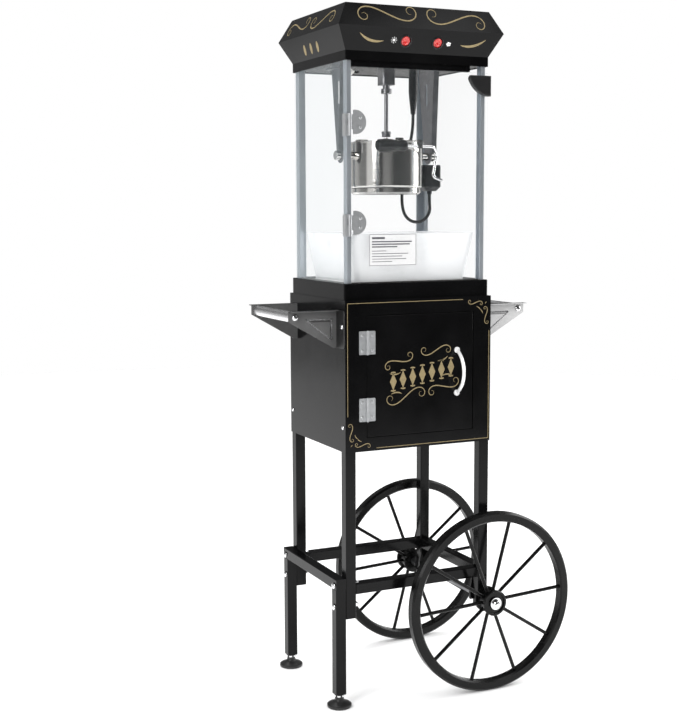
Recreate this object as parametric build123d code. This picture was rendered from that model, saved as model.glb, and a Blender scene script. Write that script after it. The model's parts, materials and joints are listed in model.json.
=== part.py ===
from build123d import *
import math
import os

# Kettle popcorn machine on a two-wheeled cart, in millimetres.
# Modelled about the middle of the cabinet: +X to the right along the front, +Y to the back, +Z up,
# floor at Z = 0. save() then moves every piece so that the origin is the bottom centre of the whole.

os.makedirs("parts", exist_ok=True)

# --- whole object -------------------------------------------------------------------------------
TOTAL_H = 1375
X_MID = 34.0            # middle of the overall length, from the left brackets to the wheel rims
SHEET = 1.2             # pressed steel sheet
GAP = 0.05              # radial running clearance of shafts and pins

# --- cart cabinet -------------------------------------------------------------------------------
CAB_W, CAB_D = 327.0, 275.0
CAB_Z0, CAB_Z1 = 515.0, 813.0
CX, CY = CAB_W / 2, CAB_D / 2
DOOR_X0, DOOR_X1 = -117.0, 123.2        # door opening in the front frame
DOOR_Z0, DOOR_Z1 = 541.8, 782.6
DOOR_DEPTH = 15.0
DOOR_SEAM = 1.0
HINGE_X, HINGE_R = -116.5, 2.8
HINGE_Y = -CY - HINGE_R - 0.2
HINGE_ZS = (597.6, 729.5)
HINGE_H = 46.0
LEAF_T = 1.5

# --- cart frame ---------------------------------------------------------------------------------
LEG, TUBE_WALL = 22.0, 1.4
LEG_X = CX - SHEET - LEG / 2
LEG_Y = CY - SHEET - LEG / 2
LEG_BOTTOM_LEFT, LEG_BOTTOM_RIGHT = 180.0, 165.0
RAIL_Z = 239.0
STAND_X = -(LEG_X + LEG)                # posts of the stand, bolted outside the left legs
STAND_TOP, STAND_BOTTOM = 263.0, 26.0
STAND_BOLT_ZS = (206.0, 249.0)
FOOT_R, STUD_R = 24.5, 5.0

# --- wheels -------------------------------------------------------------------------------------
WHEEL_R, WHEEL_W, RIM_DEPTH = 187.0, 22.0, 20.0
WHEEL_X, WHEEL_Y = 147.0, 174.0
AXLE_R, AXLE_HALF = 6.0, 199.4
HUB_L, HUB_R, HUB_NECK_R = 41.0, 26.5, 21.0
SPOKES, SPOKE_R = 10, 3.7
SPOKE_PHASE = 3.0

# --- push bars ----------------------------------------------------------------------------------
BAR_X, BAR_Z, BAR_R, BAR_HALF = 252.0, 781.0, 10.5, 98.5
WEB_T = 1.5
WEB_TIP = 266.0
WEB_Z0, WEB_Z1 = 719.0, 793.0
FLANGE = 36.0

# --- popcorn machine: base and glass case -------------------------------------------------------
BASE_W, BASE_D, BASE_Z1 = 322.0, 260.0, 845.0
POST_X, POST_Y = 152.0, 125.0           # outer faces of the corner posts
POST_W, POST_D = 8.0, 17.0
CASE_Z1 = 1270.0
PANE_T = 3.0
DOOR_GLASS_T = 4.0
GLASS_X0, GLASS_X1, GLASS_Z0, GLASS_Z1 = -144.5, 157.5, 850.0, 1256.0
GLASS_Y = -130.0                        # front face of the glass door
CASE_HINGE_X, CASE_HINGE_Y, CASE_HINGE_R = -149.5, -131.5, 3.6
CASE_HINGE_ZS = (957.0, 1148.0)

# --- canopy -------------------------------------------------------------------------------------
FOOT_W, FOOT_D, FOOT_Z0, FOOT_Z1 = 314.0, 257.0, 1268.8, 1287.0
WIDE_W, WIDE_D, WIDE_Z = 360.0, 299.0, 1331.0
SWITCH_XS = {"light_switch": -33.6, "kettle_switch": 36.5}
SWITCH_R, BEZEL_R = 9.6, 12.6

# --- kettle -------------------------------------------------------------------------------------
KY = 10.0                               # kettle axis, behind the middle of the case
POT_R, POT_WALL = 75.0, 1.5
POT_Z0, POT_Z1 = 1030.0, 1121.0
PAN_Z0 = 1018.0
RIM_R, RIM_T = 79.0, 2.4
PIVOT_Z = 1096.0
HANGER_XS = (-103.0, 97.0)
HANGER_T = 1.5
TRUNNION_R = 4.0
SHAFT_R, SLEEVE_R = 4.0, 7.0
LID_R = 70.0
LID_PIN_Y, LID_PIN_Z = 6.0, 1126.6
TRAY_TOP = (282.0, 232.0)
TRAY_FOOT = (250.0, 200.0)
TRAY_Z0, TRAY_Z1, TRAY_WALL = 847.2, 940.0, 2.0

# --- the kettle's own supply cord: from the terminal housing, round behind the kettle, to the ceiling
CORD_R = 3.3
CORD_ROUTE = [
    (100.5, 8, 1019), (100.5, 8, 1001), (103.2, 9.9, 983.6), (98.2, 16.5, 969), (89.5, 28.2, 960.6),
    (79.5, 41.8, 960.6), (70.8, 53.5, 969), (65.8, 60.3, 983.6), (65.0, 65.0, 1006), (68.5, 69.5, 1034),
    (76.0, 73, 1068), (85.5, 75, 1105), (93.5, 75.6, 1140), (97.0, 75, 1166), (97.0, 75, 1188),
]


# --- helpers ------------------------------------------------------------------------------------
def save(name, *shapes):
    solids = [solid for shape in shapes for solid in shape.solids()]
    moved = [Pos(-X_MID, 0, 0) * solid for solid in solids]
    export_step(moved[0] if len(moved) == 1 else Compound(moved), f"parts/{name}.step")


def block(x0, x1, y0, y1, z0, z1):
    return Pos((x0 + x1) / 2, (y0 + y1) / 2, (z0 + z1) / 2) * Box(abs(x1 - x0), abs(y1 - y0), abs(z1 - z0))


def rod(start, end, radius):
    line = Vector(*end) - Vector(*start)
    place = Plane(origin=start, z_dir=line.normalized())
    return place * Cylinder(radius, line.length, align=(Align.CENTER, Align.CENTER, Align.MIN))


def pipe(points, radius, bend):
    path = FilletPolyline(*points, radius=bend)
    return sweep(Plane(origin=path @ 0, z_dir=path % 0) * Circle(radius), path=path)


def square_tube(start, end, size=LEG, wall=TUBE_WALL):
    """Hollow square tube with rounded corners between two points on its centre line."""
    line = Vector(*end) - Vector(*start)
    across = Vector(0, 1, 0) if abs(line.Z) > 0.5 * line.length else Vector(0, 0, 1)
    place = Plane(origin=start, x_dir=across, z_dir=line.normalized())
    profile = RectangleRounded(size, size, 2.0) - RectangleRounded(size - 2 * wall, size - 2 * wall, 0.8)
    return extrude(place * profile, line.length)


def dome_bolt(seat, direction, head_r, head_h, shank_r, shank_l):
    """Domed bolt head standing on its seat, with its shank running the other way."""
    out = Vector(*direction)
    place = Plane(origin=seat, z_dir=out)
    profile = Polyline((0, -shank_l), (shank_r, -shank_l), (shank_r, 0), (head_r, 0), (head_r, 0.35 * head_h))
    dome = ThreePointArc((head_r, 0.35 * head_h), (0.72 * head_r, 0.83 * head_h), (0, head_h))
    close = Line((0, head_h), (0, -shank_l))
    face = make_face([profile, dome, close])
    solid = revolve(Plane.XZ * face, Axis.Z)
    slot = Pos(0, 0, head_h) * Box(1.0, head_r, 0.9) + Pos(0, 0, head_h) * Box(head_r, 1.0, 0.9)
    return place * (solid - slot)


def hex_nut(seat, direction, across_flats, height, bore):
    place = Plane(origin=seat, z_dir=Vector(*direction))
    nut = extrude(RegularPolygon(across_flats / 2, 6, major_radius=False), height) - Cylinder(bore, 4 * height)
    return place * nut


def mirrored(shape, *planes):
    result = shape
    for plane in planes:
        result = mirror(result, about=plane)
    return result


# --- cart frame ---------------------------------------------------------------------------------
def leg(side_x, side_y):
    bottom = LEG_BOTTOM_LEFT if side_x < 0 else LEG_BOTTOM_RIGHT
    x, y = side_x * LEG_X, side_y * LEG_Y
    return square_tube((x, y, bottom), (x, y, CAB_Z1 - SHEET))


def stand_bolts():
    """Carriage bolts through the stand's posts and the left legs, with nuts on their inner ends."""
    outer, inner = STAND_X - LEG / 2, -LEG_X + LEG / 2
    pieces = []
    for y in (-LEG_Y, LEG_Y):
        for z in STAND_BOLT_ZS:
            bolt = dome_bolt((outer, y, z), (-1, 0, 0), 6.5, 4.0, 3.0, inner - outer + 9)
            pieces += [bolt, hex_nut((inner, y, z), (1, 0, 0), 10.0, 5.0, 3.0)]
    return pieces


def rail_ends():
    """Self-tapping screws that hold the rails to the right legs."""
    return [dome_bolt((LEG_X + LEG / 2, y, RAIL_Z), (1, 0, 0), 4.5, 2.8, 2.0, 6) for y in (-LEG_Y, LEG_Y)]


def axle_ends():
    """Washer and domed cap bolt outside each wheel hub."""
    pieces = []
    for side in (-1, 1):
        face = side * (WHEEL_Y + HUB_L / 2)
        washer = rod((WHEEL_X, face + side * 0.4, RIM_Z), (WHEEL_X, face + side * 2.4, RIM_Z), 12.5)
        washer -= rod((WHEEL_X, -400, RIM_Z), (WHEEL_X, 400, RIM_Z), AXLE_R)
        head = dome_bolt((WHEEL_X, face + side * 5.0, RIM_Z), (0, side, 0), 8.5, 6.0, 3.0, 0.01)
        collar = rod((WHEEL_X, face + side * 2.4, RIM_Z), (WHEEL_X, face + side * 5.0, RIM_Z), 9.5)
        pieces += [washer, collar - rod((WHEEL_X, -AXLE_HALF, RIM_Z), (WHEEL_X, AXLE_HALF, RIM_Z), AXLE_R), head]
    return pieces


RIM_Z = WHEEL_R
AXLE_BORE = rod((WHEEL_X, -400, RIM_Z), (WHEEL_X, 400, RIM_Z), AXLE_R)


def axle_beam():
    """Cross tube between the right legs, with a bracket plate beside each leg for the axle."""
    inner = LEG_Y - LEG / 2
    beam = square_tube((LEG_X, -inner, RAIL_Z), (LEG_X, inner, RAIL_Z))
    for side in (-1, 1):
        outline = Polyline(
            (LEG_X - 11, RAIL_Z - 11), (LEG_X + 11, RAIL_Z - 11), (LEG_X + 11, RIM_Z - 12),
            (WHEEL_X - 12, RIM_Z - 12), (WHEEL_X - 12, RIM_Z + 10), close=True,
        )
        plate = extrude(Plane.XZ * make_face(outline), 3.0, both=True)
        plate = Pos(0, side * (inner - 3.0), 0) * plate
        gusset = Polyline((inner - 6, RAIL_Z - 11), (inner - 46, RAIL_Z - 11), (inner - 6, RIM_Z + 8), close=True)
        rib = extrude(Plane.YZ * make_face(gusset), 1.5, both=True)
        rib = Pos(LEG_X, 0, 0) * (rib if side > 0 else mirror(rib, about=Plane.XZ))
        beam += plate + rib
    return beam - AXLE_BORE


def stand_frame():
    """Inverted U of square tube that carries the two levelling feet."""
    span = LEG_Y - LEG / 2
    frame = square_tube((STAND_X, -LEG_Y - LEG / 2, STAND_TOP - LEG / 2), (STAND_X, LEG_Y + LEG / 2, STAND_TOP - LEG / 2))
    cap = block(STAND_X - 11, STAND_X + 11, span + LEG - 1.5, span + LEG, STAND_TOP - LEG + 0.5, STAND_TOP - 0.5)
    frame += [cap, mirror(cap, about=Plane.XZ)]
    for y in (-LEG_Y, LEG_Y):
        frame += square_tube((STAND_X, y, STAND_BOTTOM), (STAND_X, y, STAND_TOP - LEG))
        plug = block(STAND_X - 10.5, STAND_X + 10.5, y - 10.5, y + 10.5, STAND_BOTTOM, STAND_BOTTOM + 5)
        frame += plug - rod((STAND_X, y, 0), (STAND_X, y, 60), STUD_R + GAP)
    return frame


def levelling_foot(y):
    """Domed pad on a threaded stud, with its lock ring under the post."""
    outline = Polyline((0, 0), (FOOT_R - 1, 0), (FOOT_R, 1.5), (FOOT_R, 5.0))
    flare = Spline((FOOT_R, 5.0), (FOOT_R - 6, 8.6), (10.5, 13.0), (9.0, 19.0))
    top = Polyline((9.0, 19.0), (9.0, 20.5), (10.0, 20.5), (10.0, STAND_BOTTOM - 0.3), (STUD_R, STAND_BOTTOM - 0.3),
                   (STUD_R, STAND_BOTTOM + 34), (0, STAND_BOTTOM + 34), (0, 0))
    foot = revolve(Plane.XZ * make_face([outline, flare, top]), Axis.Z)
    return Pos(STAND_X, y, 0) * foot


# --- wheels -------------------------------------------------------------------------------------
def wheel_rim(y):
    inner = WHEEL_R - RIM_DEPTH
    half = WHEEL_W / 2
    outline = Polyline(
        (inner, -half + 3), (inner + 3, -half), (WHEEL_R - 4, -half), (WHEEL_R, -half + 4),
        (WHEEL_R, half - 4), (WHEEL_R - 4, half), (inner + 3, half), (inner, half - 3), close=True,
    )
    ring = revolve(Plane.XY * make_face(outline), Axis.Y)
    return Pos(WHEEL_X, y, RIM_Z) * ring


def wheel_hub(y):
    """Spool hub with ten rod spokes, each spoke a separate piece between the barrel and the rim."""
    half = HUB_L / 2
    spool = Polyline(
        (0, -half), (HUB_R - 1.5, -half), (HUB_R, -half + 1.5), (HUB_R, -half + 6), (HUB_NECK_R, -half + 7),
        (HUB_NECK_R, half - 7), (HUB_R, half - 6), (HUB_R, half - 1.5), (HUB_R - 1.5, half), (0, half), close=True,
    )
    hub = revolve(Plane.XY * make_face(spool), Axis.Y) - rod((0, -100, 0), (0, 100, 0), AXLE_R + GAP)
    side = 1 if y > 0 else -1
    recess = rod((0, side * (half - 2.5), 0), (0, side * (half + 1), 0), 21.0)
    recess -= rod((0, -50, 0), (0, 50, 0), 11.5)
    hub -= recess
    pieces = [hub]
    for index in range(SPOKES):
        angle = math.radians(SPOKE_PHASE + 360 / SPOKES * index)
        ray = (math.cos(angle), math.sin(angle))
        near, far = HUB_NECK_R - 1, WHEEL_R - RIM_DEPTH + 2
        spoke = rod((near * ray[0], 0, near * ray[1]), (far * ray[0], 0, far * ray[1]), SPOKE_R)
        spoke -= rod((0, -30, 0), (0, 30, 0), HUB_NECK_R)
        spoke = spoke & rod((0, -30, 0), (0, 30, 0), WHEEL_R - RIM_DEPTH)
        pieces.append(spoke)
    return [Pos(WHEEL_X, y, RIM_Z) * piece for piece in pieces]


def axle():
    bar = rod((WHEEL_X, -AXLE_HALF, RIM_Z), (WHEEL_X, AXLE_HALF, RIM_Z), AXLE_R)
    for side in (-1, 1):
        start, end = LEG_Y + LEG / 2, WHEEL_Y - HUB_L / 2 - 0.4
        bar += rod((WHEEL_X, side * start, RIM_Z), (WHEEL_X, side * end, RIM_Z), 10.0)
    return bar


# --- cabinet ------------------------------------------------------------------------------------
def cabinet_side(side):
    outer = side * CX
    return block(outer, outer - side * SHEET, -CY, CY, CAB_Z0, CAB_Z1)


def cabinet_front():
    """Front frame: a sheet with the door opening, whose edges are turned inwards."""
    inside = CX - SHEET
    frame = block(-inside, inside, -CY, -CY + SHEET, CAB_Z0, CAB_Z1)
    frame += block(DOOR_X0 - SHEET, DOOR_X1 + SHEET, -CY, -CY + 8, DOOR_Z0 - SHEET, DOOR_Z1 + SHEET)
    return frame - block(DOOR_X0, DOOR_X1, -CY - 1, -CY + 30, DOOR_Z0, DOOR_Z1)


def cabinet_level(z0, z1):
    inside_x, inside_y = CX - SHEET, CY - SHEET
    sheet = block(-inside_x, inside_x, -inside_y, inside_y, z0, z1)
    return sheet


def leg_holes():
    return [block(x - 11, x + 11, y - 11, y + 11, 0, 900) for x in (-LEG_X, LEG_X) for y in (-LEG_Y, LEG_Y)]


def cabinet_door():
    x0, x1 = DOOR_X0 + DOOR_SEAM, DOOR_X1 - 1.7
    z0, z1 = DOOR_Z0 + DOOR_SEAM, DOOR_Z1 - DOOR_SEAM
    tray = block(x0, x1, -CY, -CY + DOOR_DEPTH, z0, z1)
    tray = fillet(tray.faces().sort_by(Axis.Y)[0].edges(), 1.0)
    return tray - block(x0 + SHEET, x1 - SHEET, -CY + SHEET, -CY + DOOR_DEPTH + 1, z0 + SHEET, z1 - SHEET)


def butt_hinge(z, moving):
    """One leaf of a butt hinge: two outer knuckles on the fixed leaf, one middle knuckle on the moving one."""
    reach = 17.5
    x0, x1 = (HINGE_X, HINGE_X + reach) if moving else (HINGE_X - reach, HINGE_X)
    leaf = block(x0, x1, -CY - LEAF_T, -CY, z - HINGE_H / 2, z + HINGE_H / 2)
    leaf = fillet(leaf.edges().filter_by(Axis.Y), 2.0)
    third = HINGE_H / 3
    spans = [(-third / 2 + 0.3, third / 2 - 0.3)] if moving else [(-HINGE_H / 2, -third / 2), (third / 2, HINGE_H / 2)]
    room = [(-third / 2, third / 2)] if not moving else [(-HINGE_H, -third / 2 + 0.3), (third / 2 - 0.3, HINGE_H)]
    for low, high in room:
        leaf -= rod((HINGE_X, HINGE_Y, z + low), (HINGE_X, HINGE_Y, z + high), HINGE_R + 0.4)
    for low, high in spans:
        knuckle = rod((HINGE_X, HINGE_Y, z + low), (HINGE_X, HINGE_Y, z + high), HINGE_R)
        web_x = HINGE_X + (HINGE_R if moving else -HINGE_R)
        leaf += knuckle + block(HINGE_X, web_x, HINGE_Y, -CY, z + low, z + high)
    pin = rod((HINGE_X, HINGE_Y, z - HINGE_H / 2 - 1), (HINGE_X, HINGE_Y, z + HINGE_H / 2 + 1), 1.4)
    if moving:
        leaf -= rod((HINGE_X, HINGE_Y, z - 40), (HINGE_X, HINGE_Y, z + 40), 1.4 + GAP)
    else:
        leaf += pin
    middle = (x0 + x1) / 2 + (2.0 if moving else -2.0)
    for dz in (-15, 15):
        leaf += dome_bolt((middle, -CY - LEAF_T, z + dz), (0, -1, 0), 3.2, 1.8, 1.5, 0.2)
    return leaf


def door_pull():
    """Bow handle standing off the cabinet door, between two round feet."""
    x, z0, z1, reach = 84.5, 619.0, 706.0, 29.0
    bow = ThreePointArc((x, -CY, z0), (x, -CY - reach, (z0 + z1) / 2), (x, -CY, z1))
    grip = sweep(Plane(origin=bow @ 0, z_dir=bow % 0) * Circle(3.4), path=bow)
    grip -= block(x - 20, x + 20, -CY, -CY + 30, z0 - 20, z1 + 20)
    for z in (z0, z1):
        grip += rod((x, -CY, z), (x, -CY - 2.5, z), 6.0)
    return grip


def panel_screws():
    """Chrome screws of the side panels and the domed bolts of the handle brackets."""
    pieces = []
    for side in (-1, 1):
        for y in (-LEG_Y - 1, LEG_Y + 1):
            pieces.append(dome_bolt((side * CX, y, 564.0), (side, 0, 0), 4.2, 2.6, 1.8, 6))
            pieces.append(dome_bolt((side * (CX + WEB_T), y, 762.0), (side, 0, 0), 5.0, 3.0, 2.0, 8))
        for end in (-1, 1):
            seat = (side * BAR_X, end * (BAR_HALF + WEB_T), BAR_Z)
            pieces.append(dome_bolt(seat, (0, end, 0), 6.5, 4.5, 3.0, 12))
    return pieces


def handle_bracket():
    """Front left bracket: pressed triangular web with wall, top and sloping flanges and a raised triangle."""
    y = -BAR_HALF
    outline = Polyline((-CX, WEB_Z0), (-CX, WEB_Z1), (-WEB_TIP, WEB_Z1), (-WEB_TIP, WEB_Z1 - 20), (-CX - 8, WEB_Z0),
                       close=True)
    web = Pos(0, y, 0) * extrude(Plane.XZ * make_face(outline), WEB_T)
    wall = block(-CX - WEB_T, -CX, y - FLANGE, y, WEB_Z0, WEB_Z1)
    wall = fillet(wall.edges().filter_by(Axis.X).sort_by(Axis.Y)[0:2], 5.0)
    top = block(-WEB_TIP, -CX, y - 14, y, WEB_Z1 - WEB_T, WEB_Z1)
    rib = Polyline((-CX - 14, WEB_Z1 - 20), (-CX - 62, WEB_Z1 - 20), (-CX - 14, WEB_Z0 + 18), close=True)
    raised = extrude(Plane.XZ * make_face(rib), 3.2, taper=35)
    raised = Pos(0, y - WEB_T, 0) * raised
    return web + wall + top + raised


def handle_brackets():
    first = handle_bracket()
    rear = mirrored(first, Plane.XZ)
    pieces = [first, rear, mirrored(first, Plane.YZ), mirrored(rear, Plane.YZ)]
    holes = panel_screws()
    return [piece - [hole for hole in holes] for piece in pieces]


def push_bar(side):
    bar = rod((side * BAR_X, -BAR_HALF, BAR_Z), (side * BAR_X, BAR_HALF, BAR_Z), BAR_R)
    return bar


# --- base, posts and panes ----------------------------------------------------------------------
def base_shell():
    """Low sheet box under the glass case, open below, with rounded upright corners."""
    outer = extrude(Plane.XY.offset(CAB_Z1) * RectangleRounded(BASE_W, BASE_D, 4.0), BASE_Z1 - CAB_Z1)
    outer = fillet(outer.faces().sort_by(Axis.Z)[-1].edges(), 1.2)
    room = extrude(Plane.XY.offset(CAB_Z1 - 1) * RectangleRounded(BASE_W - 3, BASE_D - 3, 2.5), BASE_Z1 - CAB_Z1 - 0.5)
    return outer - room


def case_deck():
    """Bright sheet floor of the glass case, with a low rim between the posts."""
    return block(-150, 150, -123, 123, BASE_Z1, BASE_Z1 + 2.0) - corner_posts_envelope() - rear_flanges()


def corner_posts_envelope():
    pieces = []
    for sx in (-1, 1):
        for sy in (-1, 1):
            pieces.append(block(sx * POST_X, sx * (POST_X - POST_W), sy * POST_Y, sy * (POST_Y - POST_D),
                                BASE_Z1, CASE_Z1))
    return pieces


def rear_flanges():
    """Flat wings of the two rear posts, which the back pane lies against."""
    inner, outer = POST_X - POST_W - 12.0, POST_X - POST_W
    return [block(side * inner, side * outer, POST_Y - 2.5, POST_Y, BASE_Z1, CASE_Z1) for side in (-1, 1)]


def corner_posts():
    """Extruded channel posts, open towards the middle of the case; the rear ones have a flat wing."""
    pieces = []
    for post in corner_posts_envelope():
        centre = post.center()
        sx = math.copysign(1, centre.X)
        inner = centre.X - sx * POST_W / 2
        groove = block(inner, inner + sx * 5.6, centre.Y - POST_D / 2 + 1.6, centre.Y + POST_D / 2 - 1.6,
                       BASE_Z1, CASE_Z1)
        piece = post - groove
        if centre.Y > 0:
            piece += [wing for wing in rear_flanges() if wing.center().X * sx > 0]
        pieces.append(piece)
    return pieces


def side_pane(side):
    inner, outer = side * (POST_X + 0.05), side * (POST_X + PANE_T)
    pane = block(inner, outer, -POST_Y + 1, POST_Y, BASE_Z1 + 0.2, FOOT_Z0 - 0.2)
    return chamfer(pane.edges().filter_by(Axis.Z), 0.4)


def back_pane():
    pane = block(-POST_X, POST_X, POST_Y + 0.05, POST_Y + 2.4, BASE_Z1 + 0.2, FOOT_Z0 - 0.2)
    return chamfer(pane.edges().filter_by(Axis.Z), 0.4)


def glass_door():
    pane = block(GLASS_X0, GLASS_X1, GLASS_Y, GLASS_Y + DOOR_GLASS_T, GLASS_Z0, GLASS_Z1)
    pane = fillet(pane.edges().filter_by(Axis.Y), 3.0)
    return chamfer(pane.faces().sort_by(Axis.Y)[0].edges(), 0.5)


def glass_door_handle():
    """Quarter-round moulded grip clamped over the upper free edge of the glass."""
    right, top, reach_x, reach_z = GLASS_X1 + 0.5, 1250.0, 48.0, 40.0
    outline = [
        Line((right - reach_x + 3, top), (right, top)), Line((right, top), (right, top - reach_z)),
        Line((right, top - reach_z), (right - 6, top - reach_z)),
        ThreePointArc((right - 6, top - reach_z), (right - 34, top - 27), (right - reach_x, top - 6)),
        Line((right - reach_x, top - 6), (right - reach_x + 3, top)),
    ]
    grip = Pos(0, GLASS_Y, 0) * extrude(Plane.XZ * make_face(outline), 11.0)
    grip = fillet(grip.faces().sort_by(Axis.Y)[0].edges(), 2.5)
    return grip


def case_hinge(z, moving):
    """Glass hinge: pivot barrel on the post, and a round-ended clamp plate on the door."""
    height = 42.0
    place = (CASE_HINGE_X, CASE_HINGE_Y)
    if not moving:
        barrel = rod((*place, z - height / 2), (*place, z - 1.2), CASE_HINGE_R)
        barrel += rod((*place, z + 11.2), (*place, z + height / 2), CASE_HINGE_R)
        barrel += rod((*place, z - height / 2), (*place, z + height / 2), 1.6)
        arm = block(-POST_X, CASE_HINGE_X + 1, CASE_HINGE_Y, -POST_Y, z - height / 2, z - 1.2)
        arm += block(-POST_X, CASE_HINGE_X + 1, CASE_HINGE_Y, -POST_Y, z + 11.2, z + height / 2)
        wrap = block(-POST_X - PANE_T - 1.5, -POST_X - PANE_T, -POST_Y - 1, -POST_Y + 12, z - height / 2, z + height / 2)
        wrap += block(-POST_X - PANE_T, -POST_X + 1, -POST_Y - 1, -POST_Y, z - height / 2, z + height / 2)
        return barrel + arm + wrap
    plate_r = 23.0
    plate = block(CASE_HINGE_X, -134.0, GLASS_Y - 2.2, GLASS_Y, z - 9, z + 19)
    disc = rod((-138.0, GLASS_Y, z + 5), (-138.0, GLASS_Y - 2.2, z + 5), plate_r)
    plate += disc - block(-200, -142.0, -200, 0, 0, 2000)
    plate -= rod((*place, z - 60), (*place, z + 60), CASE_HINGE_R + 0.4)
    barrel = rod((*place, z - 0.9), (*place, z + 10.9), CASE_HINGE_R)
    link = block(CASE_HINGE_X, -144.0, GLASS_Y - 2.2, GLASS_Y, z - 0.9, z + 10.9)
    plate = plate + barrel + link - rod((*place, z - 60), (*place, z + 60), 1.6 + GAP)
    for dz in (-5, 13):
        plate += dome_bolt((-127.5, GLASS_Y - 2.2, z + dz), (0, -1, 0), 3.0, 1.6, 1.0, 0.2)
    return plate


# --- canopy -------------------------------------------------------------------------------------
def canopy_body(inset):
    """Stacked flaring and tapering sections, all drawn in by inset."""
    lower = extrude(Plane.XY.offset(FOOT_Z0) * Rectangle(FOOT_W - 2 * inset, FOOT_D - 2 * inset), FOOT_Z1 - FOOT_Z0)
    middle = loft([
        Plane.XY.offset(FOOT_Z1) * Rectangle(FOOT_W - 2 * inset, FOOT_D - 2 * inset),
        Plane.XY.offset(WIDE_Z) * Rectangle(WIDE_W - 2 * inset, WIDE_D - 2 * inset),
    ])
    upper = loft([
        Plane.XY.offset(WIDE_Z) * Rectangle(WIDE_W - 2 * inset, WIDE_D - 2 * inset),
        Plane.XY.offset(TOTAL_H - inset) * Rectangle(FOOT_W - 1.6 * inset, FOOT_D + 3 - 1.6 * inset),
    ])
    return lower + middle + upper


SLOPE = math.degrees(math.atan2((WIDE_D - FOOT_D) / 2, WIDE_Z - FOOT_Z1))


def switch_place(x):
    """Local frame of a switch: Z out of the lower front slope, Y up the slope, at mid height."""
    z = (FOOT_Z1 + WIDE_Z) / 2 - 1
    y = -(FOOT_D / 2 + (z - FOOT_Z1) * math.tan(math.radians(SLOPE)))
    return Plane(origin=(x, y, z), x_dir=(1, 0, 0),
                 z_dir=(0, -math.cos(math.radians(SLOPE)), -math.sin(math.radians(SLOPE))))


def canopy_shell():
    shell = canopy_body(0) - canopy_body(1.6) - block(-FOOT_W / 2 + 1.6, FOOT_W / 2 - 1.6, -FOOT_D / 2 + 1.6,
                                                     FOOT_D / 2 - 1.6, FOOT_Z0 - 1, FOOT_Z0 + 3)
    lip = block(-143.4, 118, -FOOT_D / 2 + 4.5, -FOOT_D / 2 + 14.5, FOOT_Z0 - 11.3, FOOT_Z0 + 1.2)
    lip += block(-143.4, 118, -FOOT_D / 2, -FOOT_D / 2 + 14.5, FOOT_Z0, FOOT_Z0 + 1.2)
    shell += lip
    for x in SWITCH_XS.values():
        shell -= switch_place(x) * Cylinder(BEZEL_R - 1.6, 20)
    inlet = Plane(origin=INLET_SEAT, z_dir=(0, 1, 0))
    return shell - inlet * Cylinder(6.05, 30)


INLET_SEAT = (-110.0, FOOT_D / 2, 1277.6)


def mains_inlet():
    """Round moulded gland in the back of the canopy, where a supply lead would enter."""
    outline = Polyline((4.2, -8), (6.0, -8), (6.0, 0), (9.0, 0), (9.0, 1.6), (7.6, 5.5), (4.2, 5.5), close=True)
    gland = revolve(Plane.XZ * make_face(outline), Axis.Z)
    return Plane(origin=INLET_SEAT, z_dir=(0, 1, 0)) * gland


def switch_bezel(x):
    outline = Polyline((SWITCH_R + 0.4, -9), (BEZEL_R - 1.6, -9), (BEZEL_R - 1.6, 0), (BEZEL_R, 0), (BEZEL_R - 0.6, 1.8),
                       (SWITCH_R + 0.9, 2.2), (SWITCH_R + 0.4, 1.4), close=True)
    return switch_place(x) * revolve(Plane.XZ * make_face(outline), Axis.Z)


def switch_rocker(x):
    """Round translucent rocker, rocking about the canopy's length in its bezel."""
    disc = Cylinder(SWITCH_R - 0.35, 4.0, align=(Align.CENTER, Align.CENTER, Align.MAX))
    dome = Pos(0, 0, 0.6) * disc
    dome = fillet(dome.edges().sort_by(Axis.Z)[-1], 1.0)
    dome += Pos(0, -4.5, 0.9) * Sphere(4.0) & Cylinder(SWITCH_R - 0.6, 9)
    return switch_place(x) * dome


def ceiling_plate():
    """Bright sheet ceiling of the case, resting on the posts, with holes for the drive, lamp and cord."""
    half_x, half_y = FOOT_W / 2 - 2.4, FOOT_D / 2 - 2.4
    plate = block(-half_x, half_x, -half_y, half_y, CASE_Z1, CASE_Z1 + 1.5)
    plate -= rod((0, KY, 1200), (0, KY, 1300), 14)
    plate -= rod((LAMP[0], LAMP[1], 1200), (LAMP[0], LAMP[1], 1300), 30)
    plate -= rod((97.0, 75, 1200), (97.0, 75, 1300), 10)
    return plate


LAMP = (-60.0, 80.0)


def heat_lamp():
    """Lamp holder across the ceiling hole, and the bulb in it."""
    x, y = LAMP
    holder = block(x - 40, x + 40, y - 12, y + 12, CASE_Z1 + 50, CASE_Z1 + 52)
    holder += block(x - 40, x - 38, y - 12, y + 12, CASE_Z1 + 1.5, CASE_Z1 + 50)
    holder += block(x + 38, x + 40, y - 12, y + 12, CASE_Z1 + 1.5, CASE_Z1 + 50)
    holder += rod((x, y, CASE_Z1 + 32), (x, y, CASE_Z1 + 50), 15)
    profile = Spline((9, CASE_Z1 + 32), (12, CASE_Z1 + 22), (20, CASE_Z1 + 4), (0, CASE_Z1 - 9),
                     tangents=((0, -1), (-1, 0)))
    bulb = revolve(Plane.XZ * make_face([profile, Polyline((0, CASE_Z1 - 9), (0, CASE_Z1 + 32), (9, CASE_Z1 + 32))]),
                   Axis.Z)
    return [holder, Pos(x, y, 0) * bulb]


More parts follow.
